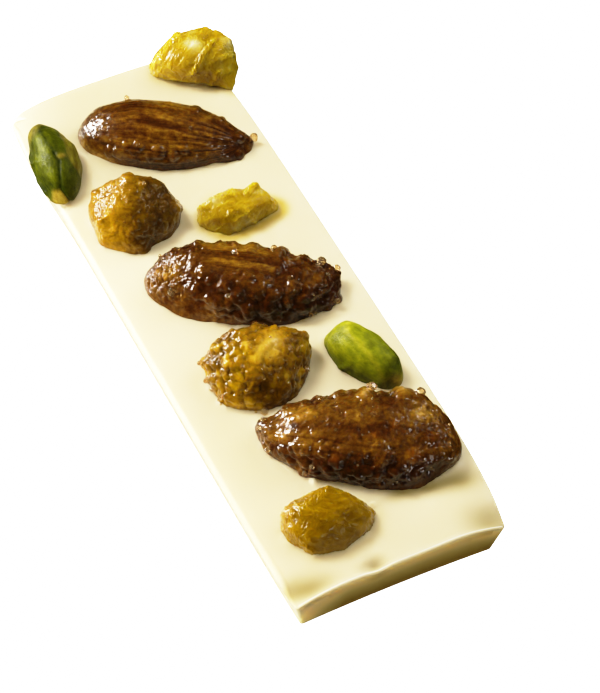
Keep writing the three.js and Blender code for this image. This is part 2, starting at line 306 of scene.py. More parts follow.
# How each lies (degrees), how blunt its tip is, how thick its sugar is; then its outline's corners, its
# knobs (place, radius) and its paler spots (place, reaches, how much), all in mm right and up of its centre
# as the photo's viewer sees them.
ALMONDS = {
    "almond_1": (56, 0.72, 0.25, [
        (-12.8, 0.2), (-12.6, 1.4), (-11.7, 3), (-10.1, 4.4), (-7.8, 5.1), (-4.6, 5.5), (-0.2, 5.2),
        (4.6, 4.3), (6.4, 3.5), (8.4, 2.6), (11.7, 0.4), (12.8, -0.5), (12.2, -1.4), (11.9, -2.4),
        (10.7, -3.6), (7.3, -4.1), (4.1, -4.8), (-0.3, -5.3), (-4.4, -4.9), (-8.3, -3.9),
        (-11.3, -2.4), (-12.4, -1.2),
    ], [
        (-5.7, 5.6, 0.5), (-4.7, 5.5, 0.3), (4.4, 4.1, 0.6), (8, 2.6, 0.5), (10.4, 0, 0.8),
        (10.5, -2.6, 0.7), (10.6, -3.5, 0.5), (-6.5, -2.4, 0.9), (-5.5, -1.6, 0.6), (-3.7, -1.6, 0.8),
        (-4.6, -2.3, 0.6), (-0.9, -2.5, 1), (1.3, -3, 0.8), (3.5, 0.9, 0.4), (-2.3, -3.1, 0.7),
        (2.7, -1.9, 0.6), (-8, -2.3, 0.7),
    ], [
        # The first three paint light that comes through the glaze and reflects along its lower left rim.
        (-12.1, -1.2, 0.9, 1.2, 0.4), (-10.2, -2.9, 1.6, 0.8, 0.4), (-8, -3.6, 1.4, 0.6, 0.3),
        (5.6, 2.5, 1, 0.5, 0.3), (-6, -3, 0.7, 1, 0.2),
    ]),
    "almond_2": (58, 0.55, 0.45, [
        (-13.6, 1.1), (-12.9, 2.1), (-11.4, 3.8), (-9.8, 4.9), (-6.3, 5.8), (-3.2, 5.6), (2, 5.3),
        (5.5, 4.5), (6.9, 3.6), (11, 2.7), (12.3, 2.2), (13.2, 1.4), (13.1, -0.5), (13.2, -2.2),
        (12.3, -3.2), (9.4, -4.4), (6.9, -5.7), (5.9, -6), (2.4, -6), (-2.2, -5.4), (-4.6, -5.5),
        (-8.5, -4.8), (-11.8, -2.8), (-13.2, -1.4),
    ], [
        (-6.3, 5.7, 0.7), (-3.2, 5.6, 0.6), (-1, 5.4, 0.5), (1.2, 5.1, 0.8), (5.3, 4.2, 0.8),
        (8.2, 3.2, 0.9), (12.7, 2, 0.7), (12.7, -2.2, 0.7), (11.5, -3.5, 0.7), (-4.6, 1.5, 1.5),
        (-3.8, -2.4, 1.4), (-1.1, -2.2, 1.4), (2, -1, 1.2), (3.2, -3.3, 1.2), (6.7, -0.8, 1.1),
        (9.2, -1, 1.2), (8.2, -2.8, 1.4), (5.7, -2.8, 1), (10.6, 0.1, 1.3), (-2.2, -0.6, 1),
        (0.3, -3.8, 1.2), (0.5, 0, 1.1), (4, -1.6, 1),
    ], [
        (-8.3, -2.2, 2, 1.4, 0.14), (-6.5, -4.4, 2.6, 0.7, 0.06),
    ]),
    "almond_3": (58.6, 0.42, 0.4, [
        (-13.3, 1.1), (-12.9, 2), (-11.8, 2.5), (-9.9, 3.9), (-6.8, 4.9), (-3.8, 5.4), (-2.3, 5.9),
        (0.7, 6.2), (3.6, 5.7), (5.1, 6.2), (7.7, 6.1), (8.8, 5.6), (9.8, 4.4), (11.5, 2.9),
        (12.9, 0.9), (13.7, -1.3), (13.3, -2.8), (9, -5.8), (6.8, -6.5), (2.2, -6.3), (-2.3, -5.4),
        (-6, -5), (-8.1, -3.9), (-11.6, -2.2), (-12.5, -0.8),
    ], [
        (1, 5.8, 1.1), (5.9, 5.8, 1.3), (1.8, 6.6, 0.6), (-5.3, 5.2, 0.6), (-2.3, 5.8, 0.7),
        (-0.6, 6, 0.6), (3.2, 5.6, 0.7), (-8.2, -1, 0.8), (-6.8, -1.1, 0.8), (-4.2, -1.5, 0.7),
        (-1.6, -1.5, 0.8), (2.7, -1.3, 1), (3.7, -2.2, 1), (0.3, -5, 0.8), (5, -3.9, 0.9),
        (-2.7, -2.8, 0.9), (7.2, -2.1, 1), (9, 0.2, 0.9), (-9.2, 3.9, 0.7), (-12.3, 2.1, 0.6),
        (-5.8, -4.3, 0.7), (-7, -4.6, 0.7),
    ], [
        (-6.8, 3.1, 2.6, 0.9, 0.3), (7.7, 3.3, 2.6, 1.3, 0.22), (1, 5.8, 1, 0.7, 0.4),
        (5.9, 5.9, 1.2, 0.8, 0.4), (-7.9, -3.6, 1.2, 0.7, 0.2), (-10.6, 0.6, 1.6, 1, 0.2),
    ]),
}
# Spots on the third where light comes through the sugar (place, reaches, how much).
SUGAR_GLOWS = [
    (2, 0.7, 0.5, 0.5, 0.16), (-3, -2.3, 0.5, 0.5, 0.16), (4.8, 2, 0.5, 0.5, 0.16),
    (9.6, 0, 0.7, 0.7, 0.16), (7.2, -2.1, 1, 1, 0.16),
]


def sphere(cuts, lift):
    """Directions and triangles of a unit sphere cut from an icosahedron, finer towards its top."""
    ball = bmesh.new()
    bmesh.ops.create_icosphere(ball, subdivisions=cuts, radius=1)
    ball.verts.ensure_lookup_table()
    directions = np.array([vertex.co for vertex in ball.verts])
    triangles = np.array([[vertex.index for vertex in face.verts] for face in ball.faces])
    ball.free()
    directions = directions / np.linalg.norm(directions, axis=1)[:, None] + (0, 0, lift)
    return directions / np.linalg.norm(directions, axis=1)[:, None], triangles


def lie_of(node, turn):
    """Where a CAD topping lies: its matrix, its half sizes, and where the chocolate meets it, in mm."""
    corners = np.array([vertex.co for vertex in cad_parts[node].data.vertices]) / MM
    angle = math.radians(turn)
    cosine, sine = math.cos(angle), math.sin(angle)
    axes = np.array([[cosine, sine, 0], [-sine, cosine, 0], [0, 0, 1]])
    local = corners @ axes.T
    low, high = local.min(axis=0), local.max(axis=0)
    centre = axes.T @ ((low + high) / 2)
    matrix = Matrix.Translation(Vector(centre * MM)) @ Matrix.Rotation(angle, 4, "Z")
    return matrix, (high - low) / 2, CROWN - SUNK - centre[2]


def body_points(directions, half, girth, level):
    """A body rounded over from the chocolate's level, which goes straight down below it and then closes."""
    along, across, upward = directions.T
    ring = np.maximum(np.hypot(across, upward), 1e-9)
    rounded = level + girth(along) * upward / ring * (half[2] - level)
    upper = np.stack([along * half[0], girth(along) * across / ring * half[1], rounded], axis=1)
    plan = np.clip(along / np.maximum(np.hypot(along, across), 1e-9), -1, 1)
    depth = np.clip(-upward, 0, 1)
    closed = np.sqrt(1 - np.clip((depth - SKIRT) / (1 - SKIRT), 0, 1) ** 2)
    side = np.sign(across) * girth(plan) * closed * half[1]
    lower = np.stack([plan * closed * half[0], side, level - depth * (half[2] + level)], axis=1)
    return np.where(directions[:, 2:] < 0, lower, upper)


def kernel_girth(tip):
    """Girth of a kernel along its length: round at one end, drawn to a tip at the other."""
    widest = (ROUND_END - tip) / (ROUND_END + tip)
    most = (1 + widest) ** ROUND_END * (1 - widest) ** tip
    return lambda along: (1 + along) ** ROUND_END * (1 - along) ** tip / most


def outward(points, triangles):
    """Vertex normals."""
    a, b, c = (points[triangles[:, k]] for k in range(3))
    facing = np.cross(b - a, c - a)
    total = np.zeros_like(points)
    for k in range(3):
        np.add.at(total, triangles[:, k], facing)
    return total / np.maximum(np.linalg.norm(total, axis=1), 1e-12)[:, None]


def seen_axes(matrix):
    """Rows that turn a topping's own coordinates into right, up and towards the photo's viewer."""
    return np.array([right, up, back]) @ np.array(matrix.to_3x3())


def fit_outline(points, matrix, corners, ease=3):
    """Draws points in or out so that what shows above the chocolate fills the outline."""
    axes = seen_axes(matrix)
    seen = points @ axes.T
    angle, reach = np.arctan2(seen[:, 1], seen[:, 0]), np.hypot(seen[:, 0], seen[:, 1])
    shows = points[:, 2] + matrix.translation.z / MM > CROWN - MEETS
    spokes = np.linspace(-math.pi, math.pi, SPOKES, endpoint=False)
    nearest = np.round((angle + math.pi) / math.tau * SPOKES).astype(int) % SPOKES
    widest = np.zeros(SPOKES)
    np.maximum.at(widest, nearest[shows], reach[shows])
    corner = np.array(corners)
    side = np.roll(corner, -1, axis=0) - corner
    edge = np.concatenate([corner + side * share for share in np.linspace(0, 0.95, 20)])
    bearing, length = np.arctan2(edge[:, 1], edge[:, 0]), np.hypot(edge[:, 0], edge[:, 1])
    wanted = np.interp(spokes, bearing, length, period=math.tau)
    for _ in range(ease):
        widest = (np.roll(widest, 1) + 2 * widest + np.roll(widest, -1)) / 4
        wanted = (np.roll(wanted, 1) + 2 * wanted + np.roll(wanted, -1)) / 4
    ratio = np.interp(angle, spokes, wanted / widest, period=math.tau)
    share = np.clip(reach / np.interp(angle, spokes, widest, period=math.tau), 0, 1) ** 1.5
    limit = np.interp(angle, spokes, wanted, period=math.tau)
    drawn = np.minimum(reach * (1 + (ratio - 1) * share), limit)
    seen[:, :2] *= (drawn / np.maximum(reach, 1e-9))[:, None]
    return seen @ axes


def hashed(cells, seed):
    """A repeatable number from 0 to 1 for each whole-numbered cell."""
    mixed = (cells @ np.array([374761393, 668265263, 1103515245]) + seed * 144665) & 0xFFFFFFFF
    mixed = ((mixed ^ (mixed >> 13)) * 1274126177) & 0xFFFFFFFF
    return (mixed ^ (mixed >> 16)) / 0xFFFFFFFF


def noise(points, seed):
    """Smooth noise from -1 to 1 with features one unit apart."""
    cells = np.floor(points).astype(np.int64)
    part = points - cells
    part = part * part * (3 - 2 * part)
    total = 0
    for corner in itertools.product((0, 1), repeat=3):
        share = np.prod(np.where(np.array(corner) == 1, part, 1 - part), axis=1)
        total = total + share * hashed(cells + np.array(corner), seed)
    return 2 * total - 1


def lumps(points, seed):
    """Rounded lumps about one unit apart that melt into each other: height from 0 to about 1."""
    points = points + 0.35 * np.stack([noise(points, seed + 10 + k) for k in range(3)], axis=1)
    cells = np.floor(points).astype(np.int64)
    total = np.zeros(len(points))
    for step in itertools.product((-1, 0, 1), repeat=3):
        cell = cells + np.array(step)
        centre = cell + np.stack([hashed(cell, seed + k) for k in range(3)], axis=1)
        size = 0.5 + 0.5 * hashed(cell, seed + 3)
        away = np.linalg.norm(points - centre, axis=1) / size
        total = total + (size * np.sqrt(np.maximum(0, 1 - away * away))) ** 6
    return total ** (1 / 6)


def crumbs(points, size, seed):
    """Uneven crumbs with creases between them, in three sizes: height from 0 to about 1."""
    warped = points / size + 0.4 * np.stack([noise(points / size, seed + k) for k in range(3)], axis=1)
    return sum(np.abs(noise(warped * 2.1**k, seed + 3 + k)) * 0.55**k for k in range(3))


def smooth(value, low, high):
    """0 below low, 1 above high, eased between."""
    share = np.clip((value - low) / (high - low), 0, 1)
    return share * share * (3 - 2 * share)


def patches(x, y, spots):
    """Sum of soft-edged spots, each (right, up, reach right, reach up, how much)."""
    return sum(much * patch(x, y, *spot) for *spot, much in spots)


def knobs(seen, facing, spots):
    """Height of uneven round knobs at places the viewer sees, each (right, up, radius)."""
    rise = np.zeros(len(seen))
    shift_x, shift_y = 0.3 * noise(seen / 0.9, 171), 0.3 * noise(seen / 0.9, 172)
    for across, height, radius in spots:
        away = np.hypot(seen[:, 0] + shift_x - across, seen[:, 1] + shift_y - height) / (1.15 * radius)
        rise = rise + (0.5 * radius * np.maximum(0, 1 - away * away)) ** 3
    return rise ** (1 / 3) * smooth(facing, -0.4, 0.1)


def clear_of_chocolate(points, matrix):
    """0 where a topping meets the chocolate, 1 a little way above it."""
    return smooth(points[:, 2] + matrix.translation.z / MM, CROWN - 0.3, CROWN + 1.8)


def add_topping(name, node, slot, material, points, triangles, matrix, **masks):
    """Makes a topping with its material and masks, and hangs it on the frame in place of its CAD node."""
    piece = make_object(name, points, triangles, matrix)
    for mask_name, values in masks.items():
        set_mask(piece, mask_name, values)
    piece.data.materials.append(material)
    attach(piece, "root")
    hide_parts(node)
    toppings.append((piece, triangles))


def spread_out(tree, factor, reach):
    """Noise spread out from minus to plus a reach."""
    inputs = {"Value": factor, "From Min": 0.25, "From Max": 0.75, "To Min": -reach, "To Max": reach}
    return add_node(tree, "ShaderNodeMapRange", inputs).outputs["Result"]


def sugar_glaze():
    """Node group: mottled tone of caramel, and the facets and grain that break up its gloss."""
    group = bpy.data.node_groups.new("sugar_glaze", "ShaderNodeTree")
    for name in ("Toast", "Mottle", "Grain"):
        group.interface.new_socket(name, in_out="INPUT", socket_type="NodeSocketFloat")
    group.interface.new_socket("Tone", in_out="OUTPUT", socket_type="NodeSocketFloat")
    group.interface.new_socket("Normal", in_out="OUTPUT", socket_type="NodeSocketVector")
    given = group.nodes.new("NodeGroupInput").outputs
    place = own_place(group)
    mottled = spread_out(group, cloudy(group, place, 1400, 7, Roughness=0.75), 1)
    toasted = {0: mottled, 1: given["Mottle"], 2: given["Toast"]}
    tone = add_node(group, "ShaderNodeMath", toasted, operation="MULTIPLY_ADD", use_clamp=True)
    facets = add_node(group, "ShaderNodeTexVoronoi", {"Vector": place, "Scale": 2900}).outputs["Color"]
    lean = add_node(group, "ShaderNodeVectorMath", {0: facets, 1: (0.5, 0.5, 0.5)}, operation="SUBTRACT")
    scaled = {0: lean.outputs[0], "Scale": given["Grain"]}
    leaning = add_node(group, "ShaderNodeVectorMath", scaled, operation="SCALE").outputs[0]
    level = add_node(group, "ShaderNodeNewGeometry", {}).outputs["Normal"]
    tilted = add_node(group, "ShaderNodeVectorMath", {0: level, 1: leaning}).outputs[0]
    faceted = add_node(group, "ShaderNodeVectorMath", {0: tilted}, operation="NORMALIZE").outputs[0]
    dusted = bumped(group, cloudy(group, place, 6500, 3), given["Grain"], 0.03, Normal=faceted)
    set_inputs(group, group.nodes.new("NodeGroupOutput"), {"Tone": tone.outputs[0], "Normal": dusted})
    return group


def glazed_material(name, mottle):
    """A material with the caramel's glaze: the material, its tree, its shader and the glaze's tone."""
    made, tree, shader = new_material(name)
    glaze = add_node(tree, "ShaderNodeGroup", {}, node_tree=glaze_group)
    set_inputs(tree, glaze, {"Toast": mask(tree, "toast"), "Mottle": mottle, "Grain": mask(tree, "grain")})
    set_inputs(tree, shader, {
        "Roughness": 0.35, "IOR": 1.5, "Specular IOR Level": 0.15, "Normal": glaze.outputs["Normal"],
        "Coat Weight": mask(tree, "coat"), "Coat Roughness": 0.06, "Coat Normal": glaze.outputs["Normal"],
    })
    return made, tree, shader, glaze.outputs["Tone"]


glaze_group = sugar_glaze()
caramel_almond, tree, shader, glaze_tone = glazed_material("caramelised_almond", 0.2)
drawn_out = add_node(tree, "ShaderNodeMapping", {"Vector": own_place(tree), "Scale": (0.12, 1, 1)})
fibres = spread_out(tree, cloudy(tree, drawn_out.outputs["Vector"], 2600, 4, Roughness=0.7), 0.15)
skinned = {0: fibres, 1: mask(tree, "bare"), 2: glaze_tone}
tone = add_node(tree, "ShaderNodeMath", skinned, operation="MULTIPLY_ADD", use_clamp=True).outputs[0]
caramel = colour_ramp(
    tree, tone, (0.0, 0.012, 0.0032, 0.0006), (0.25, 0.042, 0.013, 0.0014), (0.45, 0.10, 0.041, 0.0035),
    (0.65, 0.21, 0.105, 0.010), (0.85, 0.35, 0.22, 0.055), (1.0, 0.54, 0.40, 0.18)
)
set_inputs(tree, shader, {
    "Base Color": mix_colour(tree, mask(tree, "glow"), caramel, (0.42, 0.12, 0.003, 1)), "Coat IOR": 1.4,
    "Subsurface Weight": 0.35, "Subsurface Radius": (1.0, 0.4, 0.08), "Subsurface Scale": 0.8 * MM,
})

toppings = []
directions, triangles = sphere(NUT_CUTS, NUT_LIFT)
for number, (node, (lie, tip, coat, outline, bumps, pales)) in enumerate(ALMONDS.items(), 1):
    matrix, half, level = lie_of(node, lie)
    points = fit_outline(body_points(directions, half - coat, kernel_girth(tip), level), matrix, outline)
    normals = outward(points, triangles)
    seen = points @ seen_axes(matrix).T
    across, height = seen[:, 0], seen[:, 1]
    along = points[:, 0] / half[0]
    around = np.arctan2(points[:, 2] / half[2], points[:, 1] / half[1])
    wound = np.stack([along * 1.1, around * 4.4 + 0.35 * noise(points / 4, 3 + number), 0 * along], axis=1)
    groove = band(noise(wound, 5 + number), 0.3)
    furrow = band(noise(wound * (1.7, 2.2, 1), 8 + number), 0.3)
    swell = noise(points / ALMOND_SWELL, 21 + number)
    crumb = crumbs(points, ALMOND_CRUMB, 31 + number) - 0.5
    grit = crumbs(points, ALMOND_GRIT, 51 + number) - 0.5
    fine = noise(points / ALMOND_FINE, 91 + number)
    knob = knobs(seen, (normals @ seen_axes(matrix).T)[:, 2], bumps)
    clear = clear_of_chocolate(points, matrix)
    # Painted shade: each is darker on its lower side as seen, where less light falls.
    lower = smooth(-height, 1.2, 3.8)
    plain_end = smooth(-across, 4.5, 8.5) + smooth(along, 0.5, 0.9) if number == 1 else 0
    ridged = (1 - plain_end) * (0.1 * (1 - groove) + 0.05 * (1 - furrow)) + 0.03 * fine
    glow = np.zeros(len(points))
    dull = 0
    if number == 1:
        # Grooved skin, with sugar only at the tip.
        crust = smooth(along + 0.1 * swell, 0.78, 0.95)
        sugar_rise = 0.25 + 0.3 * crumb
        grain = 0.2 + 0.2 * crust + 0.08 * patch(across, height, -9.8, 1.2, 2, 2.5)
        streak = 0.17 * (1 - groove) - 0.12 * furrow + 0.08 * noise(wound * (2.2, 0.7, 1), 96)
        toast = 0.35 + (1 - 0.5 * plain_end) * streak + 0.06 * fine
        toast = toast - 0.1 * lower - 0.12 * smooth(across, 4, 10)
    elif number == 2:
        # Melted lumps all round, a window of bare skin on top and crisp frosted sugar at both ends.
        framed = np.maximum(np.abs(across + 0.7) / 6.0, np.abs(height - 3.4) / 2.7)
        crust = smooth(framed + 0.22 * swell + 0.25 * crumb, 0.55, 1.05)
        crisp = patches(across, height, [(-10.4, 1.0, 2.6, 2.4, 1), (10.8, 1.8, 2.2, 1.4, 0.6)])
        frosted = np.minimum(crisp, 1)
        melted = lumps(points / 1.9, 36) * smooth(across, -9, -6)
        even = patch(across, height, -7.2, -3.6, 2.4, 1.4)
        relief = 0.5 * melted + 0.3 * crumb + 0.12 * (1 + frosted) * grit
        sugar_rise = 0.1 + (1 - 0.8 * even) * relief
        ridged = 0.6 * ridged
        grain = 0.2 + 0.4 * crisp
        dull = 0.8 * frosted
        bare_toast = 0.42 + 0.16 * noise(wound, 7) - 0.1 * groove + 0.05 * fine
        sugar_toast = 0.27 + 0.14 * swell + 0.14 * crumb + 0.06 * fine
        toast = (1 - crust) * bare_toast + crust * sugar_toast
        toast = toast - 0.1 * lower * smooth(across, -4, 0)
        toast = toast + 0.45 * patch(across, height, -10.2, 1.1, 1.8, 1.5) * (0.5 + grit)
    else:
        # Beads all over, a crest along the top edge, a smooth place at one end and a tilted, shiny one.
        crust = np.ones(len(points))
        even = patch(across, height, 10.4, -4.0, 2.4, 1.5)
        shine = patch(across, height, -8.9, 1.4, 2.0, 1.6)
        crest = height - np.interp(across, [-12, -5, 2.5, 8, 12], [1.4, 3.5, 4.4, 4.6, 3])
        beads = 0.42 * (lumps(points / 1.05, 37) - 0.4) * (0.5 + 0.6 * lower)
        relief = beads + 0.22 * crumb + 0.1 * grit
        sugar_rise = 0.2 + (1 - 0.7 * even) * (1 - 0.85 * shine) * relief + 0.25 * band(crest, 0.7)
        sugar_rise = sugar_rise + 0.6 * ridged * (1 - lower) * (1 - shine) + 0.27 * (across + 8.9) * shine
        grain = np.clip(0.26 + 0.1 * swell - 0.15 * even - 0.1 * shine, 0.1, 1)
        glow = patches(across, height, SUGAR_GLOWS)
        toast = 0.265 + 0.12 * swell + 0.16 * crumb + 0.06 * fine
        toast = toast + 0.12 * (1 - groove) * (1 - lower) - 0.12 * lower
    skin_rise = (ridged * clear - 0.1) * (1 - 0.7 * along**4)
    sugar_rise = 0.1 + (sugar_rise - 0.25) * (0.3 + 0.7 * clear)
    rise = (1 - crust) * skin_rise + crust * sugar_rise + knob
    points = points + normals * rise[:, None]
    add_topping(
        "almond_caramelised_%d" % number, node, "caramelised_almond", caramel_almond,
        points, triangles, matrix,
        grain=grain * (1 - 0.4 * smooth(knob, 0.0, 0.2)), glow=np.clip(glow, 0, 1), bare=1 - crust,
        toast=toast + patches(across, height, pales) + 0.1 * (1 - clear),
        coat=(0.3 + 0.7 * clear) * (1 - dull),
    )

# Hazelnuts
# Two roasted hazelnuts in the same caramel: the first in a glassy glaze pulled into facets and knobs,
# the second rolled in sugar grains, with a bare pale streak on top. Both sit half sunk.
HAZEL_SWELL, HAZEL_CRUMB, HAZEL_GRIT, HAZEL_BEAD, HAZEL_TINY = 2.6, 1.8, 0.75, 0.86, 0.5
# The same values as for the almonds, apart from the paler spots.
HAZELNUTS = {
    "hazelnut_1": (66, 0.52, 0.25, [
        (-5.9, 3.9), (-3.8, 4.7), (-1.6, 5.7), (2.2, 5.6), (4, 4.7), (6.2, 2.3), (6.4, 1.2), (6.2, -1),
        (5, -2.9), (2.4, -4.1), (1.9, -5.1), (-1.1, -5.2), (-4.8, -3.8), (-5.3, -2.4), (-6.4, -0.5),
        (-6.6, 1.2),
    ], [
        (-5.6, 3.6, 0.5), (-0.8, 5.3, 0.8), (1.4, 4.5, 0.6), (6, 1.4, 0.6), (2, 2.8, 0.5),
        (2.9, 1.6, 0.4), (1.9, 0.2, 0.4), (2.6, -0.1, 0.4), (4, -1.1, 0.6), (1.6, -4.6, 0.8),
        (1.3, -3.4, 0.4), (-4.7, -0.6, 0.5), (0.5, -1.2, 0.5), (-0.1, -1.9, 0.4), (1, -2.4, 0.4),
        (2.5, -2.1, 0.4), (4.4, -1.2, 0.4),
    ]),
    "hazelnut_2": (99, 0.56, 0.4, [
        (-7.6, 0.8), (-6.8, 2), (-6.4, 3.2), (-5.3, 4.2), (-3.9, 5.1), (-0.4, 5.8), (1.9, 5.7),
        (4.9, 5.2), (6.3, 4.6), (6.7, 3.4), (7, 2), (6.8, -0.2), (6.3, -2.4), (5.7, -3.8), (4, -5),
        (1.2, -5.8), (-0.4, -5.9), (-4.6, -5.2), (-5.4, -4.1), (-6.4, -2.5), (-7, -1.5), (-6.9, -0.6),
    ], [
        (-3.8, 0.7, 0.8), (-1.6, 3, 0.7), (-7.5, 0.8, 0.5), (-6.8, -1.6, 0.5), (-5.7, 2.8, 0.7),
        (-5, -4.6, 0.4), (-4.5, -3.7, 0.4), (6.2, 4.4, 0.6), (-3.5, 4.8, 0.6), (-0.4, 5.7, 0.6),
        (2, 5.5, 0.5), (6.1, -0.3, 0.5),
    ]),
}
# Flats on the glassy glaze: right, up and towards the viewer, and their distance out; how crisp they meet.
FLATS = [(-0.75, 0.45, 0.5, 0.86), (-0.4, -0.4, 0.82, 0.9), (0.55, 0.3, 0.78, 0.9), (0.5, -0.6, 0.62, 0.9)]
FLAT_EDGE = 18

caramel_hazelnut, tree, shader, glaze_tone = glazed_material("caramelised_hazelnut", 0.15)
amber = colour_ramp(
    tree, glaze_tone, (0.0, 0.028, 0.011, 0.0006), (0.25, 0.085, 0.040, 0.0012), (0.5, 0.24, 0.125, 0.003),
    (0.75, 0.44, 0.28, 0.03), (1.0, 0.62, 0.46, 0.17)
)
# Painted light: an amber glow where light comes through the sugar, in cloudy patches.
set_inputs(tree, shader, {
    "Base Color": mix_colour(tree, mask(tree, "glow"), amber, (0.48, 0.29, 0.002, 1)), "Coat IOR": 1.35,
    "Subsurface Weight": 0.6, "Subsurface Radius": (1.0, 0.6, 0.08), "Subsurface Scale": 1.1 * MM,
})
directions, triangles = sphere(NUT_CUTS, NUT_LIFT)
for number, (node, (lie, tip, coat, outline, bumps)) in enumerate(HAZELNUTS.items(), 1):
    matrix, half, level = lie_of(node, lie)
    points = body_points(directions, half - coat, kernel_girth(tip), level)
    if number == 1:
        towards = points / half @ seen_axes(matrix).T
        towards = towards / np.linalg.norm(towards, axis=1)[:, None]
        flat = sum(np.maximum(0, towards @ np.array(way) / out) ** FLAT_EDGE for *way, out in FLATS)
        points = points * ((1 + flat) ** (-1 / FLAT_EDGE))[:, None]
    points = fit_outline(points, matrix, outline)
    normals = outward(points, triangles)
    seen = points @ seen_axes(matrix).T
    across, height = seen[:, 0], seen[:, 1]
    knob = knobs(seen, (normals @ seen_axes(matrix).T)[:, 2], bumps)
    swell = noise(points / HAZEL_SWELL, 61 + number)
    crumb = crumbs(points, HAZEL_CRUMB, 66 + number) - 0.5
    grit = crumbs(points, HAZEL_GRIT, 81 + number) - 0.5
    beads = lumps(points / HAZEL_BEAD, 96 + number) - 0.5
    tiny = lumps(points / HAZEL_TINY, 104 + number) - 0.5
    cloud = smooth(noise(points / 1.1, 101 + number), 0.1, 0.8)
    if number == 1:
        # Glass drawn into an edge on the left, crumpled above it, and rough to the right, where it is
        # painted darker as shade.
        edge_at = np.interp(height, [-2.4, -0.6, 0.2, 1.3, 2.5, 4.1], [-5.2, -4.7, -3.4, -3.0, -2.2, -1.3])
        crumpled = patch(across, height, -3.4, 2.4, 2.0, 2.0) * (1 - 2 * np.abs(noise(points / 0.75, 83)))
        rough_shaded_side = smooth(across - 0.15 * height + 1.4 * swell, -3.0, 2.6)
        rise = 0.2 * noise(points / 1.9, 81) + 0.14 * band(across - edge_at, 0.5) + 0.09 * crumpled
        rise = rise + 0.22 * crumb + 0.06 * grit + rough_shaded_side * (0.14 * beads + 0.05 * tiny)
        toast = 0.44 - 0.3 * rough_shaded_side + 0.1 * swell + 0.12 * crumb + 0.14 * smooth(across, 4, 6.2)
        # A pale band low in front is a painted reflection of the chocolate.
        toast = toast + 0.14 * patch(across, height, -0.7, -4.5, 2.4, 0.6)
        grain = 0.16 + 0.1 * rough_shaded_side
        glow = 0.09 * cloud
        dull = 0.65 * patch(across, height, -4.6, 1.2, 2.4, 3.0)
    else:
        # Sugar grains all over but for a bare streak up to the right, two hollows and two pale knobs.
        slant = math.radians(50)
        lengthwise = (across - 1.0) * math.cos(slant) + (height - 2.8) * math.sin(slant)
        sideways = (height - 2.8) * math.cos(slant) - (across - 1.0) * math.sin(slant)
        bald = patch(lengthwise, sideways, 0, 0, 2.9, 1.2) + 0.6 * patch(across, height, 2.4, 2.0, 1.8, 1.2)
        sugared = 1 - 0.8 * smooth(bald + 0.2 * swell, 0.2, 0.9)
        hollow_and_shade = patches(across, height, [(-2.7, -0.3, 0.6, 0.6, 1), (0.2, -2.6, 0.9, 0.7, 1)])
        pale = patches(across, height, [(-3.8, 0.8, 0.7, 0.7, 1), (-1.6, 3.1, 0.6, 0.6, 1)])
        rise = 0.2 * swell + sugared * (0.15 * crumb + 0.38 * beads + 0.07 * tiny) - 0.2 * hollow_and_shade
        rise = rise + 0.2 * patch(lengthwise, sideways, 0, 0, 2.4, 0.6)
        toast = 0.33 + 0.1 * swell + sugared * (0.06 * (beads - 0.1) + 0.1 * grit)
        # The hollows and the lower right are painted darker, as shade.
        toast = toast + 0.42 * np.minimum(bald, 1) + 0.3 * pale - 0.16 * hollow_and_shade
        toast = toast - 0.1 * smooth(across - height, 1.5, 7)
        grain = (0.12 + 0.08 * sugared) * (1 - 0.7 * np.minimum(pale, 1))
        glow = 0.39 * cloud
        dull = 0.15
    clear = clear_of_chocolate(points, matrix)
    points = points + normals * (rise * (0.3 + 0.7 * clear) + knob)[:, None]
    add_topping(
        "hazelnut_caramelised_%d" % number, node, "caramelised_hazelnut", caramel_hazelnut,
        points, triangles, matrix,
        toast=toast, grain=grain, glow=np.clip(glow, 0, 1), coat=(0.3 + 0.7 * clear) * (1 - dull),
    )

# Pistachios
# Shelled pistachio kernels, blanched to the bare green seed with scraps of brown skin left at the ends.
# Each seed is two halves that meet in a crease along it, and is pressed into the chocolate.
PISTACHIO_CUTS, PISTACHIO_LIFT, PISTACHIO_EASE = 6, 0.3, 12
# How each lies (degrees), how blunt its tip is, and its outline's corners.
PISTACHIOS = {
    "pistachio_1": (-4, 0.52, [
        (-4.1, 3.7), (-3.5, 5.1), (-2.4, 5.7), (-0.8, 5.2), (1.1, 4.1), (2.9, 2.6), (3.8, 0.4),
        (4.1, -1.2), (4, -3.2), (3.4, -4.9), (2.6, -5.9), (0.6, -6), (-0.7, -5.4), (-2.4, -2.9),
        (-3.9, 0.8), (-3.7, 1.9),
    ]),
    "pistachio_2": (22, 0.63, [
        (-5.5, 2), (-5.3, 2.9), (-4.6, 3.5), (-4, 4.3), (-2.8, 5), (-1.4, 4.8), (0.3, 3.9), (1.9, 2.8),
        (3.6, 1.3), (4.6, 0), (5.1, -1.7), (5.1, -3.1), (4.4, -3.9), (2.9, -4.2), (1.5, -4),
        (-0.3, -3.3), (-2.3, -2.3), (-4, -1.1), (-5.1, 0.5),
    ]),
}

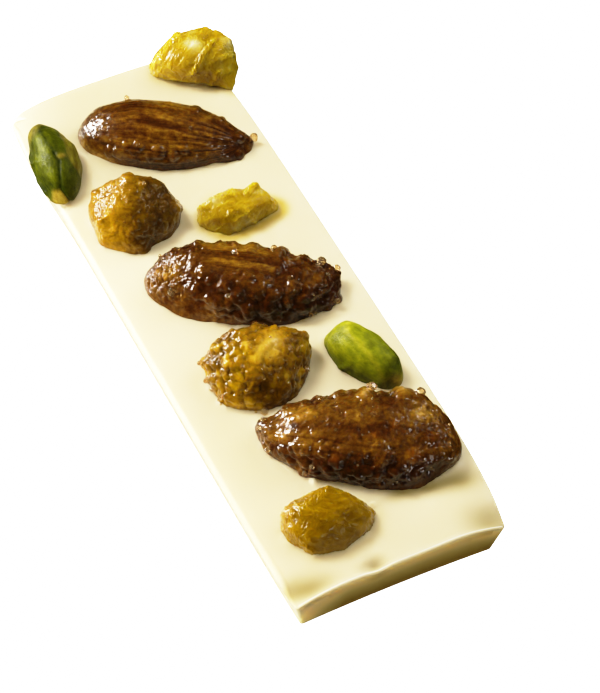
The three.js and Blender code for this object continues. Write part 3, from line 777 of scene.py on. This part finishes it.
pistachio, tree, shader = new_material("pistachio_kernel")
place = own_place(tree)
drawn_out = add_node(tree, "ShaderNodeMapping", {"Vector": place, "Scale": (0.5, 1, 1)}).outputs["Vector"]
streaks = cloudy(tree, drawn_out, 1300, 7, Roughness=0.7)
streaked = {0: mask(tree, "ripe"), 1: spread_out(tree, streaks, 0.18)}
tone = add_node(tree, "ShaderNodeMath", streaked, use_clamp=True).outputs[0]
green = colour_ramp(
    tree, tone, (0.0, 0.016, 0.021, 0.0008), (0.25, 0.056, 0.062, 0.001), (0.5, 0.14, 0.15, 0.003),
    (0.7, 0.265, 0.265, 0.008), (0.9, 0.44, 0.41, 0.055), (1.0, 0.54, 0.48, 0.14)
)
tan = colour_ramp(tree, streaks, (0.3, 0.12, 0.07, 0.003), (0.7, 0.36, 0.27, 0.04))
rough = add_node(tree, "ShaderNodeMath", {0: cloudy(tree, place, 3000, 3), 1: streaks}).outputs[0]
pitted = bumped(tree, rough, 0.5, 0.2)
set_inputs(tree, shader, {
    "Base Color": mix_colour(tree, mask(tree, "husk"), green, tan), "Normal": pitted,
    "Roughness": 0.5, "IOR": 1.45, "Specular IOR Level": 0.1,
    "Subsurface Weight": 0.4, "Subsurface Radius": (0.8, 1.0, 0.15), "Subsurface Scale": 0.7 * MM,
    "Coat Weight": 0.12, "Coat Roughness": 0.25, "Coat Normal": pitted,
})
directions, triangles = sphere(PISTACHIO_CUTS, PISTACHIO_LIFT)
for number, (node, (lie, tip, outline)) in enumerate(PISTACHIOS.items(), 1):
    matrix, half, level = lie_of(node, lie)
    points = body_points(directions, half, kernel_girth(tip), level)
    points = fit_outline(points, matrix, outline, PISTACHIO_EASE)
    normals = outward(points, triangles)
    across, height, _ = (points @ seen_axes(matrix).T).T
    swell = noise(points / 2.2, 111 + number)
    small = noise(points / 0.9, 115 + number)
    if number == 1:
        # Dark, with its crease in front, a lobe on the left and a strip of skin on the right.
        crease = across - np.interp(height, [-5.8, -4.2, -2.7, 0, 1.4, 5], [2.6, 1.2, 1.1, 1.0, 0.1, -2.5])
        lobe = across - np.interp(height, [-4.5, -2.2, 0, 1.8], [-0.8, -2.5, -3.1, -3.6])
        strip = across - np.interp(height, [-2.2, 0.4, 2.8, 4.7], [3.9, 2.1, 1.4, 0.3])
        rise = 0.15 * swell + 0.05 * small - 0.3 * band(crease, 0.4) * smooth(-height, -1.8, -0.8)
        rise = rise - 0.25 * band(lobe, 0.4) * smooth(-height, -2, -1.2) - 0.08 * smooth(strip, -0.1, 0.3)
        ripe = 0.25 + 0.08 * swell + 0.06 * small
        # Its crease is painted darker, as shade.
        ripe = ripe - 0.1 * smooth(crease, -0.3, 0.4) - 0.2 * band(crease, 0.3)
        ripe = ripe - 0.1 * smooth(-across - 0.45 * height, 0.4, 2.4) - 0.08 * smooth(-lobe, -0.1, 0.3)
        ripe = ripe + patches(across, height, [(-1.8, 0.8, 1.0, 2.0, 0.06), (-1.2, 3.6, 1.4, 1.2, 0.12)])
        husk = np.maximum.reduce([
            0.35 * smooth(strip, -0.1, 0.4) * smooth(height, -3, -1),
            smooth(-crease, 0, 0.3) * smooth(-height, 3.8, 4.6) * smooth(across, -0.4, 0.5),
            0.4 * smooth(-across + 0.6 * height, 4.6, 6),
            0.8 * patch(across, height, 1.4, 0.7, 0.55, 0.3),
        ])
    else:
        # Bright, with a pale crest along it, darker on both flanks and with skin at its lower tip.
        crest = across - np.interp(height, [-3, -1, 0.5, 2, 3.4], [2.4, 1.4, 0.5, -0.8, -2.4])
        rise = 0.1 * swell + 0.06 * small + 0.14 * band(crest, 0.8)
        pale_line = band(crest + 0.4 * small, 0.5) * smooth(height, -2, 1)
        ripe = 0.58 + 0.08 * swell + 0.08 * small + 0.12 * pale_line
        ripe = ripe - 0.32 * smooth(-(0.55 * across + 0.83 * height), 0.8, 3.0)
        ripe = ripe - 0.18 * smooth(0.6 * across + 0.8 * height, 1.8, 3.6) * smooth(across, -1, 2)
        ripe = ripe - 0.25 * smooth(across - 0.4 * height, 2.5, 4.5)
        ripe = ripe + 0.08 * smooth(-across + 0.5 * height, 3.2, 5.5)
        husk = 0.9 * patch(across, height, 4.3, -3.0, 1.0, 0.9) + 0.2 * band(crest, 0.45)
    points = points + normals * rise[:, None]
    add_topping(
        "pistachio_kernel_%d" % number, node, "pistachio_kernel", pistachio, points, triangles, matrix,
        ripe=ripe, husk=np.clip(husk, 0, 1),
    )

# Raisins
# Plump golden raisins, wet and see-through like jelly, with flat sides and creased skins. They are pressed
# into the chocolate, and one overhangs a corner of the slab.
RAISIN_CUTS, RAISIN_LIFT = 7, 0.3
FLAT_TOP = 1.3
RIDGE_HALF, SCALE_WIDE = 0.45, 0.45
# How each lies and how its folds run across the picture (degrees), and how light its base tone is; then its
# outline's corners, its paler or, below zero, darker spots (place, reaches, how much), and its ridges
# (from, to, height). The paler spots paint light that shines through it and off its flat facets, the darker
# ones paint where less light comes.
RAISINS = {
    "raisin_1": (73, 57, 0.44, [
        (-6.7, -1), (-5.3, 1.1), (-2.8, 3.4), (1.7, 4.4), (2.7, 3.8), (3.6, 4), (5.3, 3), (5.9, 0.5),
        (6.3, -0.8), (5.8, -3.5), (5.3, -4.6), (3.4, -4.1), (-3.6, -3.2), (-6.1, -2.6),
    ], [
        (0, 1.6, 1.3, 0.8, 0.35), (4.9, 2, 1, 1.2, 0.2), (-5.4, -0.2, 1, 1.4, 0.05),
        (2.5, -3.2, 2.6, 1, -0.14),
    ], [
        (-5.8, -1.4, -2.3, 3.2, 0.3), (-0.1, -2.3, 2.7, 2.1, 0.4), (3, -2.8, 4.9, -1.8, 0.3),
        (4.1, -0.3, 5.6, 0.6, 0.25),
    ]),
    "raisin_2": (83, 30, 0.46, [
        (-5.4, 0.6), (-3.3, 2), (-1, 3), (1.3, 3.1), (2.5, 4), (5.5, 1.4), (5.5, 0.2), (2.3, -2.1),
        (-0.2, -2.9), (-1.2, -3.6), (-2.6, -3.5), (-5.6, -1.8),
    ], [
        (-3.3, 1.2, 1.8, 0.6, 0.16), (0.8, -2.3, 3.6, 0.9, 0.14), (-2.1, -1.7, 1.4, 0.9, -0.22),
        (3.4, 0.9, 0.9, 0.7, -0.15), (1.4, -1.3, 1, 0.6, 0.08), (3.9, -0.7, 1, 0.5, 0.08),
        (3, 2.8, 0.8, 0.6, 0.12),
    ], [
        (-5, 0.4, -0.8, 2.6, 0.25), (1.2, 2.4, 2.6, 3.6, 0.25), (1.2, 0.2, 2.5, -1.4, 0.2),
        (-1, -0.2, 0.2, -2.8, 0.25),
    ]),
    "raisin_3": (86, -15, 0.16, [
        (-5.3, 1.6), (-4.2, 2.7), (-0.9, 4.2), (0.3, 4.7), (1.7, 4.2), (4.7, 2.6), (6.4, 1), (5.8, -1),
        (2.6, -3.8), (0, -3.9), (-1.7, -4.3), (-3.2, -3.4), (-4.7, -2.7), (-5.8, -1.3),
    ], [
        (-2.6, 2.1, 2, 0.8, 0.14), (-4.7, 0.2, 0.8, 1.4, 0.04), (2.8, -1.5, 2.4, 1.4, -0.06),
    ], [
        (-5, 0.8, -0.5, 3.4, 0.12), (-4.8, -0.6, -2.6, -3.2, 0.1), (-1.5, 0.6, 3, 1.6, 0.06),
    ]),
}

raisin, tree, shader = new_material("golden_raisin")
place = own_place(tree)
veins = cloudy(tree, place, 420, 5, Distortion=1.8)
veined = {0: mask(tree, "thin"), 1: spread_out(tree, veins, 0.14)}
tone = add_node(tree, "ShaderNodeMath", veined, use_clamp=True).outputs[0]
jelly = colour_ramp(
    tree, tone, (0.0, 0.115, 0.057, 0.0006), (0.3, 0.22, 0.125, 0.0012), (0.5, 0.35, 0.235, 0.01),
    (0.62, 0.39, 0.295, 0.055), (0.75, 0.455, 0.385, 0.17), (1.0, 0.64, 0.58, 0.38)
)
wrinkled = bumped(tree, cloudy(tree, place, 1900, 4, Distortion=1.0), 0.5, 0.15)
creased = bumped(tree, veins, 0.45, 0.3, Normal=wrinkled)
set_inputs(tree, shader, {
    "Base Color": jelly, "Roughness": 0.3, "Specular IOR Level": 0.05, "Normal": creased,
    "Subsurface Weight": 1.0, "Subsurface Radius": (1.0, 0.85, 0.3), "Subsurface Scale": 2.6 * MM,
    "Coat Weight": 1.0, "Coat Roughness": 0.05, "Coat IOR": 1.4, "Coat Normal": creased,
})
directions, triangles = sphere(RAISIN_CUTS, RAISIN_LIFT)
for number, (node, (lie, fold, thin, outline, pales, ridges)) in enumerate(RAISINS.items(), 1):
    matrix, half, level = lie_of(node, lie)
    points = body_points(directions, half, lambda along: np.sqrt(1 - along**2), level)
    points[:, 2] = half[2] * np.tanh(FLAT_TOP * points[:, 2] / half[2]) / math.tanh(FLAT_TOP)
    points = fit_outline(points, matrix, outline)
    normals = outward(points, triangles)
    across, height, towards = (points @ seen_axes(matrix).T).T
    slant = math.radians(fold)
    folded = np.stack([
        (across * math.cos(slant) + height * math.sin(slant)) / 4.5,
        (height * math.cos(slant) - across * math.sin(slant)) / 1.7,
        towards / 3.0,
    ], axis=1)
    folds = 1 - np.abs(noise(folded, 131 + number))
    small = 1 - np.abs(noise(folded * 2.6, 141 + number))
    swell = noise(points / 2.6, 151 + number)
    bent = np.stack([noise(points / 1.3, 145 + k) for k in range(3)], axis=1)
    crinkled = folded * (2.4, 1.4, 2) + 1.1 * bent
    crinkle = (1 - np.abs(noise(crinkled * 2, 155 + number))) ** 5
    beads = lumps(points / 0.5, 181 + number) - 0.5
    rise = 0.25 * swell + 0.15 * (folds**3 - 0.4) + 0.1 * (small**4 - 0.3) + 0.09 * crinkle + 0.03 * beads
    uneven = 0.5 * noise(points / 0.5, 187) + 0.5 * noise(points / 1.3, 188)
    scales = np.mod(across / SCALE_WIDE + uneven, 1)
    wander = 0.25 * np.stack([noise(points / 1.1, 185), noise(points / 1.1, 186)], axis=1)
    spot = np.stack([across, height], axis=1) + wander
    for *ends, high in ridges:
        start, run = np.array(ends[:2]), np.array(ends[2:]) - np.array(ends[:2])
        share = np.clip((spot - start) @ run / (run @ run), 0, 1)
        away = np.linalg.norm(spot - start - share[:, None] * run, axis=1)
        rise = rise + high * (0.3 + scales) * np.exp(-((away / RIDGE_HALF) ** 4))
    edge = np.hypot(across / half[0], height / (half[1] * 0.9))
    # Painted glow at the thin edges, where light comes through.
    thin = thin + 0.02 * smooth(edge, 0.6, 1) + 0.08 * (folds - 0.6) + 0.05 * swell
    thin = thin + patches(across, height, pales)
    points = points + normals * rise[:, None]
    add_topping(
        "raisin_golden_%d" % number, node, "golden_raisin", raisin, points, triangles, matrix, thin=thin,
    )

# Sugar crystals
# Grains of sugar that stayed whole in the caramel: clear to amber drops along the edges of the nuts, and
# specks over them, all stuck fast.
DROP_CUTS, DROP_UNEVEN = 2, 0.3
SPECK_CUTS, SPECK_UNEVEN = 1, 0.25
SPECK_SMALL, SPECK_LARGE = 0.08, 0.2
LOWEST_SPECK = 9.3
STICKS_OUT = 0.4
# How many specks each nut has, and its drops (right, up, radius) as the photo's viewer sees them.
CRYSTALS = {
    "almond_1": (8, [
        (12.4, -0.2, 0.6), (-5.7, 5.6, 0.35), (-3.7, -1.5, 0.28), (-7.5, -0.7, 0.18), (3.5, 0.9, 0.2),
    ]),
    "almond_2": (40, [
        (-9.6, -1.2, 0.6), (4.3, 4.9, 0.4), (10.6, 2.8, 0.7), (12.7, 2.1, 0.5), (12.7, -2.2, 0.5),
        (-1.9, -1.7, 0.3), (-11.4, 3.8, 0.27), (9.1, -4.1, 0.35), (9.8, -3.8, 0.27), (-1.1, 4.2, 0.45),
        (11.4, 1.1, 0.4), (6.5, 0.6, 0.4),
    ]),
    "almond_3": (60, [
        (8.2, 5.9, 0.7), (1.8, 6.8, 0.6), (-2.9, 1.2, 0.3), (2, 3.3, 0.35), (-5.9, -3.4, 0.35),
        (-12.3, 2.4, 0.4), (-12.7, 1.5, 0.35), (-11.5, -1.4, 0.4), (-6.8, -4.4, 0.4), (4.8, 2.1, 0.3),
        (-4.9, 5.2, 0.37),
    ]),
    "hazelnut_1": (6, [
        (1.4, 4.5, 0.3), (2, 2.8, 0.25),
    ]),
    "hazelnut_2": (60, [
        (0.8, -5.5, 0.55), (-0.3, -5.8, 0.25), (6.3, -0.2, 0.5), (-0.4, 5.9, 0.36), (-4.6, -3.7, 0.3),
        (-6.2, -2.8, 0.3), (-2, 0.3, 0.27), (-7.6, 0.7, 0.4), (-6.9, -1.6, 0.36), (4.1, 2.7, 0.36),
        (-1.5, -2.9, 0.22), (1.8, -2.9, 0.3), (-5.3, -4.2, 0.2), (-5, -4.9, 0.2),
    ]),
}


def world_points(piece):
    """A piece's vertices in mm in the shared frame."""
    matrix = np.array(piece.matrix_world)
    local = np.array([vertex.co for vertex in piece.data.vertices])
    return (local @ matrix[:3, :3].T + matrix[:3, 3]) / MM


draw = np.random.RandomState(7)
drop, speck = sphere(DROP_CUTS, 0), sphere(SPECK_CUTS, 0)
viewed = np.array([right, up, back]).T
crystal_points, crystal_faces = [], []
for (piece, piece_triangles), (specks, drops) in zip(toppings, CRYSTALS.values()):
    skin_points = world_points(piece)
    skin_normals = outward(skin_points, piece_triangles)
    seen = (skin_points - np.array(piece.matrix_world.translation) / MM) @ viewed
    shows = np.flatnonzero(((skin_normals @ viewed)[:, 2] > 0) & (skin_points[:, 2] > CROWN))
    places = []
    for across, height, size in drops:
        away = np.hypot(seen[shows, 0] - across, seen[shows, 1] - height)
        places.append((shows[np.argmin(away)], size, *drop, DROP_UNEVEN))
    free = shows[skin_points[shows, 2] > LOWEST_SPECK]
    for at in draw.choice(free, specks, replace=False):
        size = SPECK_SMALL + (SPECK_LARGE - SPECK_SMALL) * draw.rand() ** 2
        places.append((at, size, *speck, SPECK_UNEVEN))
    for at, size, shape, faces, uneven in places:
        stretch = draw.uniform(0.8, 1.15, 3)
        wobble = 1 + uneven * noise(shape * 1.3 + draw.uniform(0, 50, 3), 161)
        turned = np.linalg.qr(draw.randn(3, 3))[0]
        turned = turned * np.linalg.det(turned)
        grain = (shape * stretch * wobble[:, None]) @ turned * size
        crystal_faces.append(faces + sum(map(len, crystal_points)))
        crystal_points.append(grain + skin_points[at] + skin_normals[at] * size * STICKS_OUT)
crystals = make_object("sugar_crystals", np.concatenate(crystal_points), np.concatenate(crystal_faces))
crystals.data.polygons.foreach_set("use_smooth", np.zeros(len(crystals.data.polygons), dtype=bool))
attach(crystals, "root")
sugar, tree, shader = new_material("sugar_crystal")
cloud = cloudy(tree, own_place(tree), 700, 1)
clear = colour_ramp(tree, cloud, (0.3, 0.55, 0.32, 0.09), (0.7, 0.88, 0.70, 0.42))
set_inputs(tree, shader, {"Base Color": clear, "Roughness": 0.05, "IOR": 1.5, "Transmission Weight": 0.9})
crystals.data.materials.append(sugar)

# Setting the toppings
# The toppings were pressed in while the chocolate was soft: it gave way under each one and crept a
# little way up its sides. Beside the raisins it takes on the amber light that comes through them.
PRESS_REACH = 3.0
CREEP, CREEP_REACH = 0.35, 0.45
SEAT_DEPTH, SEAT_EDGE = 0.15, 0.5
AMBER_LIGHT = {"raisin_golden_1": 0.5, "raisin_golden_2": 1.0, "raisin_golden_3": 0.2}
AMBER_THROW = 0.7 * right + 0.35 * Vector((back.x, back.y, 0)).normalized()
AMBER_REACH = 0.9
surface = np.array([vertex.co for vertex in slab.data.vertices]) / MM
flow = noise(surface / 1.7, 201)
amber_mask = np.zeros(len(surface))
on_top = np.arange(grid_u.size)
for piece, piece_triangles in toppings:
    body = world_points(piece)
    finder = BVHTree.FromPolygons(body.tolist(), piece_triangles.tolist())
    low, high = body.min(axis=0) - PRESS_REACH, body.max(axis=0) + PRESS_REACH
    near = on_top[((surface[on_top, :2] > low[:2]) & (surface[on_top, :2] < high[:2])).all(axis=1)]
    amber_light = AMBER_LIGHT.get(piece.name, 0)
    for i in near:
        x, y, z = surface[i]
        under = finder.ray_cast((x, y, -1), (0, 0, 1))[0]
        away = finder.find_nearest((x, y, z))[3]
        inside = under is not None and under.z < z
        if inside and away > SEAT_EDGE:
            surface[i, 2] = under.z + SEAT_DEPTH
        else:
            near_share = 1 if inside else math.exp(-away / CREEP_REACH)
            surface[i, 2] += CREEP * (0.6 + 0.6 * flow[i]) * near_share
        if amber_light:
            cast = finder.find_nearest(Vector((x, y, z)) - AMBER_THROW)[3]
            lit_share = 1 if inside else band(cast, AMBER_REACH)
            amber_mask[i] = max(amber_mask[i], amber_light * lit_share)
slab.data.vertices.foreach_set("co", (surface * MM).astype(np.float32).ravel())
slab.data.update()
set_mask(slab, "amber", amber_mask)

# Floor
# A plain white sweep that the bar lies on. It shines evenly by itself and throws no light or reflection
# on the bar.
FLOOR_HALF = 600
floor_corners = [(x * FLOOR_HALF, y * FLOOR_HALF, 0) for x, y in ((-1, -1), (1, -1), (1, 1), (-1, 1))]
floor = make_object("floor", floor_corners, [(0, 1, 2, 3)])
white, tree, shader = new_material("floor_white")
set_inputs(tree, shader, {
    "Base Color": (0.5, 0.5, 0.5, 1), "Roughness": 0.9,
    "Emission Color": (1, 1, 1, 1), "Emission Strength": 3.0,
})
floor.data.materials.append(white)
floor.visible_diffuse = False
floor.visible_glossy = False
floor.visible_shadow = False

# Camera and light
# The camera looks down along the bar from its near end. Soft boxes above, on the left, overhead, on the
# right and in front light the colours; three small ones show only in the gloss, as its highlights.
DISTANCE, AIM_RIGHT, AIM_UP = 414.7, 7.6, -1.0
PHOTO_LENS, SENSOR = 155.8, 36
WARM_WHITE = (1.0, 0.98, 0.95)
# The photo's print curve: deeper shadows and gently held whites.
PRINT_CURVE = [
    (0.02, 0.011), (0.05, 0.036), (0.1, 0.088), (0.2, 0.2), (0.35, 0.38), (0.5, 0.56), (0.65, 0.7),
    (0.8, 0.8), (1.0, 0.88), (1.3, 0.95), (1.6, 0.985),
]
PRINT_WHITE = 2.0
beyond = Vector((-back.x, -back.y, 0)).normalized()
camera = bpy.data.objects.new("camera", bpy.data.cameras.new("camera"))
bpy.context.scene.collection.objects.link(camera)
camera.data.lens = PHOTO_LENS
camera.data.sensor_width = SENSOR
camera.data.clip_start, camera.data.clip_end = 0.01, 10
camera.location = (back * DISTANCE + right * AIM_RIGHT + up * AIM_UP) * MM
camera.rotation_euler = (-back).to_track_quat("-Z", "Y").to_euler()
bpy.context.scene.camera = camera


def soft_box(name, leftward, onward, upward, away, size, power, colour, for_gloss=False):
    """A square lamp that faces the bar, placed as the photo's viewer sees it, for colours or for gloss."""
    lamp = bpy.data.objects.new(name, bpy.data.lights.new(name, "AREA"))
    bpy.context.scene.collection.objects.link(lamp)
    lamp.data.size = size * MM
    lamp.data.energy = power
    lamp.data.color = colour
    towards = (beyond * onward - right * leftward + Vector((0, 0, upward))).normalized()
    lamp.location = towards * away * MM
    lamp.rotation_euler = towards.to_track_quat("Z", "Y").to_euler()
    lamp.visible_diffuse = not for_gloss
    lamp.visible_glossy = for_gloss


soft_box("spot", 0.6, 0.3, 1.0, 420, 130, 2.35, WARM_WHITE)
soft_box("glint", 0.85, 0.38, 0.28, 420, 180, 3.6, WARM_WHITE, for_gloss=True)
soft_box("panel", 1.0, -0.1, 0.15, 450, 250, 3.2, WARM_WHITE)
soft_box("bounce", 1.0, 0.1, -0.4, 450, 300, 2.2, (1.0, 0.98, 0.94))
soft_box("overhead", -0.3, 0.15, 1.0, 700, 900, 1.8, (1.0, 0.98, 0.94))
soft_box("side", -1.0, 0.6, 0.8, 500, 500, 2.6, (0.98, 0.99, 1.0))
soft_box("gleam", -1.0, 0.5, 0.9, 420, 90, 0.22, (1.0, 0.98, 0.98), for_gloss=True)
soft_box("sparkle", -0.63, -0.72, 0.22, 420, 80, 0.3, WARM_WHITE, for_gloss=True)
soft_box("front", 0.4, -1.0, 0.3, 500, 400, 1.7, (1.0, 0.96, 0.86))

world = bpy.data.worlds.new("room")
world.use_nodes = True
backdrop = world.node_tree.nodes["Background"]
set_inputs(world.node_tree, backdrop, {"Color": (1, 0.95, 0.85, 1), "Strength": 0.005})
bpy.context.scene.world = world
view = bpy.context.scene.view_settings
view.view_transform = "Standard"
view.use_curve_mapping = True
view.curve_mapping.white_level = (PRINT_WHITE, PRINT_WHITE, PRINT_WHITE)
view.curve_mapping.extend = "HORIZONTAL"
curve = view.curve_mapping.curves[3]
for given, shown in PRINT_CURVE:
    curve.points.new(given / PRINT_WHITE, shown)
view.curve_mapping.update()
